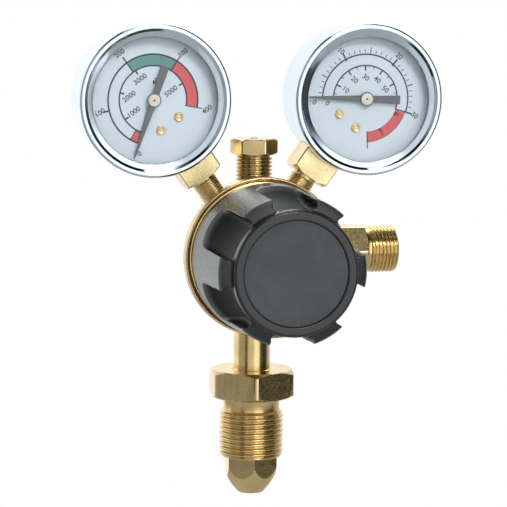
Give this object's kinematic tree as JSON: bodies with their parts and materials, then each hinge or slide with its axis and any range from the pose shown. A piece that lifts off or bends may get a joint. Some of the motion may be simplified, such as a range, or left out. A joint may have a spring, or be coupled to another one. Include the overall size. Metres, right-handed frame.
{
  "type": "gas regulator",
  "caption": "Brass gas regulator with a lobed hand knob, contents and flow gauges, a relief valve, a hexagon inlet nut on a bull-nose nipple and a threaded side outlet.",
  "frame": {"origin": "on the inlet thread's axis at the first crest below its relief groove", "axes": "-Z along the inlet thread's axis towards its free end, +X towards the outlet, -Y to the front, where the knob and dials face"},
  "size_m": [0.1304, 0.0825, 0.1689],
  "materials": {
    "brass_cast": "satin forged brass",
    "brass_turned": "turned brass",
    "sintered_bronze": "rough sintered bronze",
    "bronze_tube": "drawn bronze",
    "chrome": "polished chrome plate",
    "steel": "plain steel",
    "rubber": "matt rubber",
    "knob_plastic": "moulded glass-filled plastic, semi-gloss",
    "cap_plastic": "fine-grained plastic",
    "window": "clear window",
    "dial_print": "printed pale enamel",
    "pointer_paint": "matt dark paint"
  },
  "bodies": {
    "regulator": {"body": "brass_cast", "bonnet": "brass_turned", "slip_ring": "steel", "diaphragm": "rubber", "valve_seat": "brass_turned", "valve_cap": "brass_turned", "valve_cap_o_ring": "rubber", "inlet_nipple": "brass_turned", "inlet_filter": "sintered_bronze", "relief_body": "brass_turned", "outlet_connector": "brass_turned", "flow_restrictor": "brass_turned", "adjusting_spring": "steel", "valve_spring": "steel", "relief_spring": "steel", "contents_socket": "brass_turned", "contents_case": "chrome", "contents_bezel": "chrome", "contents_window": "window", "contents_dial": "dial_print", "contents_dial_screws": "brass_turned", "contents_link": "steel", "contents_bourdon_tube": "bronze_tube", "contents_movement": "brass_turned", "contents_hairspring": "steel", "contents_case_screws": "steel", "contents_blowout_disc": "rubber", "flow_socket": "brass_turned", "flow_case": "chrome", "flow_bezel": "chrome", "flow_window": "window", "flow_dial": "dial_print", "flow_dial_screws": "brass_turned", "flow_link": "steel", "flow_bourdon_tube": "bronze_tube", "flow_movement": "brass_turned", "flow_hairspring": "steel", "flow_case_screws": "steel", "flow_blowout_disc": "rubber"},
    "thrust": {"spring_button": "steel", "thrust_ball": "steel"},
    "hand_knob": {"knob": "knob_plastic", "knob_cap": "cap_plastic", "knob_screw": "steel", "adjusting_screw": "steel"},
    "valve_train": {"diaphragm_plate": "steel", "diaphragm_pad": "steel", "valve_poppet": "steel"},
    "inlet_nut": {"inlet_nut": "brass_turned"},
    "relief_valve": {"relief_poppet": "brass_turned", "relief_seal": "rubber"},
    "contents_pointer": {"contents_pointer": "pointer_paint", "contents_spindle": "brass_turned"},
    "contents_sector": {"contents_sector": "brass_turned"},
    "flow_pointer": {"flow_pointer": "pointer_paint", "flow_spindle": "brass_turned"},
    "flow_sector": {"flow_sector": "brass_turned"}
  },
  "joints": [
    {"name": "screw_advance", "type": "slide", "parent": "regulator", "child": "thrust", "axis": [0, 1, 0], "range_m": [0, 0.00375], "deforming": ["adjusting_spring"]},
    {"name": "knob_turn", "type": "hinge", "parent": "thrust", "child": "hand_knob", "pos_m": [0, -0.05, 0.0577], "axis": [0, 1, 0], "range_deg": [0, 900]},
    {"name": "valve_lift", "type": "slide", "parent": "regulator", "child": "valve_train", "axis": [0, 1, 0], "range_m": [0, 0.0007], "deforming": ["diaphragm", "valve_spring"]},
    {"name": "inlet_nut_spin", "type": "hinge", "parent": "regulator", "child": "inlet_nut", "pos_m": [0, 0, 0], "axis": [0, 0, 1], "continuous": true},
    {"name": "relief_lift", "type": "slide", "parent": "regulator", "child": "relief_valve", "axis": [0, 0, 1], "range_m": [0, 0.0012], "stiffness_N_per_m": 500, "springref_m": -0.002, "deforming": ["relief_spring"]},
    {"name": "contents_pointer_turn", "type": "hinge", "parent": "regulator", "child": "contents_pointer", "pos_m": [-0.03843, 0, 0.11258], "axis": [0, 1, 0], "range_deg": [0, 270], "stiffness_Nm_per_rad": 0.00002, "springref_deg": -57.3, "deforming": ["contents_hairspring"]},
    {"name": "contents_sector_turn", "type": "hinge", "parent": "regulator", "child": "contents_sector", "pos_m": [-0.02329, 0, 0.11692], "axis": [0, 1, 0], "range_deg": [-33.75, 0], "deforming": ["contents_link", "contents_bourdon_tube"]},
    {"name": "flow_pointer_turn", "type": "hinge", "parent": "regulator", "child": "flow_pointer", "pos_m": [0.03843, 0, 0.11258], "axis": [0, 1, 0], "range_deg": [0, 270], "stiffness_Nm_per_rad": 0.00002, "springref_deg": -57.3, "deforming": ["flow_hairspring"]},
    {"name": "flow_sector_turn", "type": "hinge", "parent": "regulator", "child": "flow_sector", "pos_m": [0.04642, 0, 0.09901], "axis": [0, 1, 0], "range_deg": [-33.75, 0], "deforming": ["flow_link", "flow_bourdon_tube"]}
  ],
  "couplings": [
    {"joint": "screw_advance", "follows": "knob_turn", "m_per_rad": 0.00023873},
    {"joint": "valve_lift", "follows": "knob_turn", "m_per_rad": 0.000044559},
    {"joint": "contents_sector_turn", "follows": "contents_pointer_turn", "ratio": -0.125},
    {"joint": "flow_sector_turn", "follows": "flow_pointer_turn", "ratio": -0.125}
  ]
}
